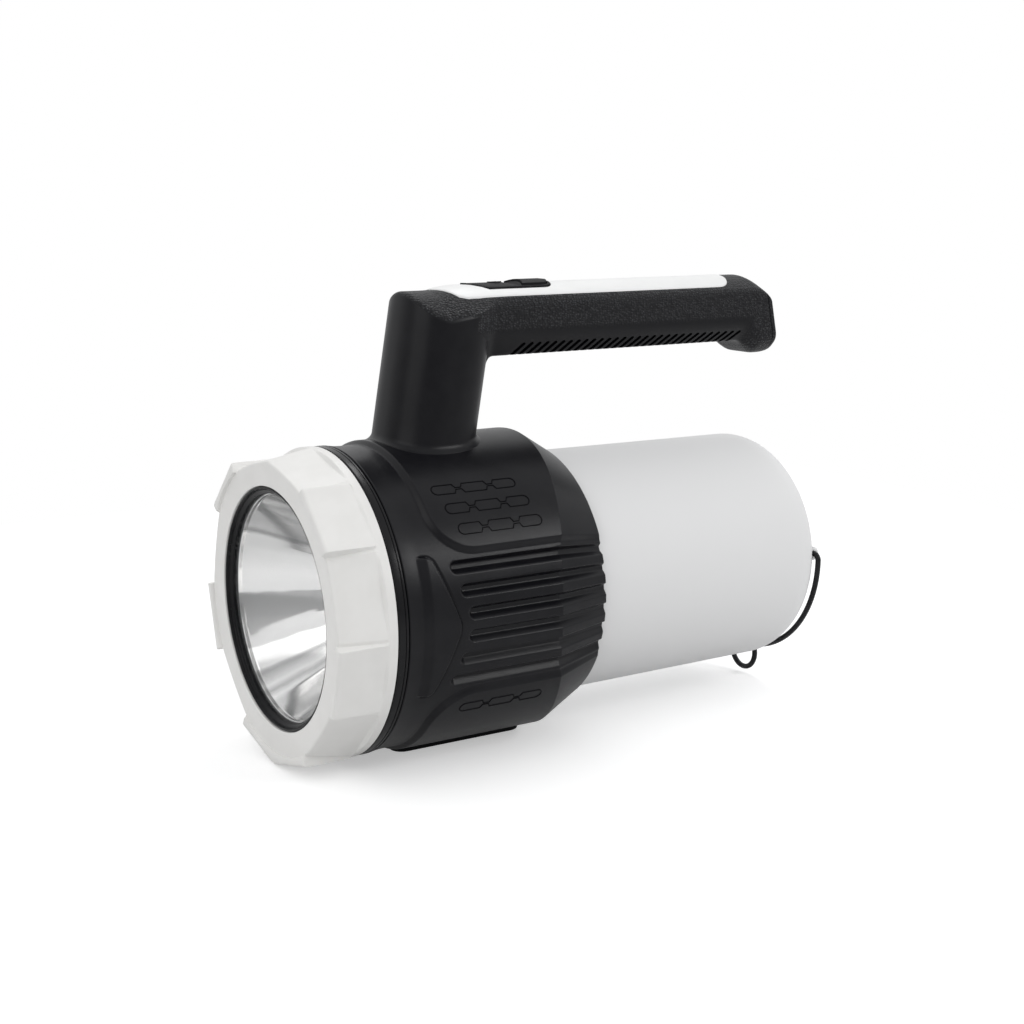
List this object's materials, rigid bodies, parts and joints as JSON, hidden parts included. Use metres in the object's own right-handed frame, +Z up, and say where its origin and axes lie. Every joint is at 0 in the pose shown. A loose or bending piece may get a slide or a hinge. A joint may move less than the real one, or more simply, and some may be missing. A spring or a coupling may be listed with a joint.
{
  "type": "camping light",
  "caption": "Hand-held camping light with a reflector spotlight in front, a milky lantern behind, a carrying grip on a leaning post and a swinging wire bail.",
  "frame": {"origin": "centre of the bounding box in plan, at the resting plane", "axes": "+Z up; -Y is the way the spotlight shines, +Y points to the lantern end; +X is the right-hand side seen from the front"},
  "size_m": [0.1198, 0.2322, 0.1785],
  "materials": {
    "white_plastic": "warm white moulded plastic with a light satin sheen",
    "black_plastic": "charcoal black moulded plastic, satin",
    "grip_plastic": "dark grey plastic with a fine moulded texture",
    "black_rubber": "soft black rubber, matt",
    "clear_lens": "clear polished plastic",
    "milky_plastic": "milky white light-scattering plastic",
    "mirror_bowl": "bright mirror-plated surface",
    "aluminium": "plain turned aluminium",
    "green_board": "green circuit board",
    "white_board": "white circuit board",
    "phosphor": "yellow phosphor",
    "cell_wrap": "blue shrink wrap over a metal can",
    "steel": "bright steel",
    "black_wire": "black coated steel wire"
  },
  "bodies": {
    "lamp": {"front_bezel": "white_plastic", "collar_ring": "black_plastic", "housing": "black_plastic", "grip_shell": "grip_plastic", "handle_strip": "white_plastic", "switch_frame": "black_rubber", "power_switch": "black_plastic", "mode_switch": "black_plastic", "switch_board": "green_board", "lens_gasket": "black_rubber", "front_lens": "clear_lens", "reflector": "mirror_bowl", "spot_board": "white_board", "spot_led": "phosphor", "heat_sink": "aluminium", "battery_holder": "black_plastic", "battery_cell_1": "cell_wrap", "battery_cell_2": "cell_wrap", "battery_cell_3": "cell_wrap", "driver_board": "green_board", "lantern_base": "white_plastic", "lantern_board": "white_board", "diffuser": "milky_plastic", "cover_pin": "steel", "charge_socket": "steel", "foot_pad": "black_rubber", "charge_board": "green_board", "charge_lead": "black_rubber", "switch_lead": "black_rubber", "base_screw_1": "steel", "base_screw_2": "steel", "base_screw_3": "steel"},
    "power_button": {"power_button": "black_rubber", "power_plunger": "black_plastic"},
    "mode_button": {"mode_button": "black_rubber", "mode_plunger": "black_plastic"},
    "port_cover": {"port_cover": "black_rubber"},
    "hanging_bail": {"hanging_bail": "black_wire"}
  },
  "joints": [
    {"name": "power_press", "type": "slide", "parent": "lamp", "child": "power_button", "axis": [0, 0, -1], "range_m": [0, 0.0006], "stiffness_N_per_m": 800, "springref_m": -0.0005},
    {"name": "mode_press", "type": "slide", "parent": "lamp", "child": "mode_button", "axis": [0, 0, -1], "range_m": [0, 0.0006], "stiffness_N_per_m": 800, "springref_m": -0.0005},
    {"name": "cover_hinge", "type": "hinge", "parent": "lamp", "child": "port_cover", "pos_m": [0, 0.11313, 0.14705], "axis": [-1, 0, 0], "range_deg": [0, 100]},
    {"name": "bail_swing", "type": "hinge", "parent": "lamp", "child": "hanging_bail", "pos_m": [0, 0.11315, 0.06255], "axis": [1, 0, 0], "range_deg": [0, 180]}
  ]
}
